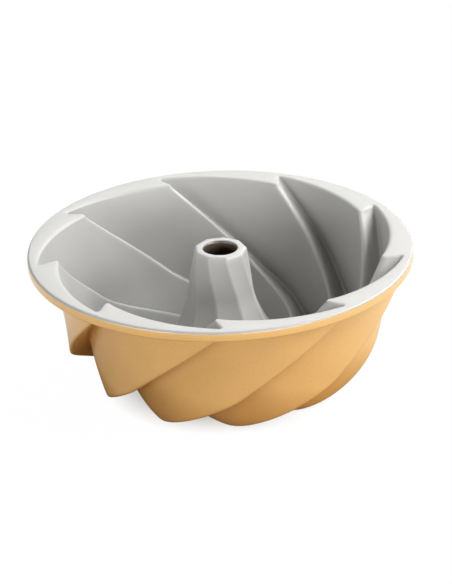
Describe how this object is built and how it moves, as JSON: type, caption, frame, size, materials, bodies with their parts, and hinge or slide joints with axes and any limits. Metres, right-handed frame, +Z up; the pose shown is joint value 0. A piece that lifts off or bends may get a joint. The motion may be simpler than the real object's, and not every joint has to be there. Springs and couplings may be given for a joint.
{
  "type": "fluted tube pan",
  "caption": "Cast ring-cake pan with flutes that swirl down the wall and up a sided open centre tube, a flat pinwheel rim, a grey nonstick lining and a gold outer coat.",
  "frame": {"origin": "centre of the base, on the plane of the foot lands that the pan stands on", "axes": "+Z up along the tube's axis, out of the open mouth; -Y towards the picture's camera"},
  "size_m": [0.2599, 0.2599, 0.098],
  "materials": {
    "cast_metal": "as cast, ground on the foot lands",
    "lining": "satin grey nonstick coat",
    "outer_coat": "satin gold coat with a fine grain"
  },
  "bodies": {
    "root": {"cast_pan": "cast_metal", "nonstick_lining": "lining", "gold_outer_coat": "outer_coat"}
  },
  "joints": []
}
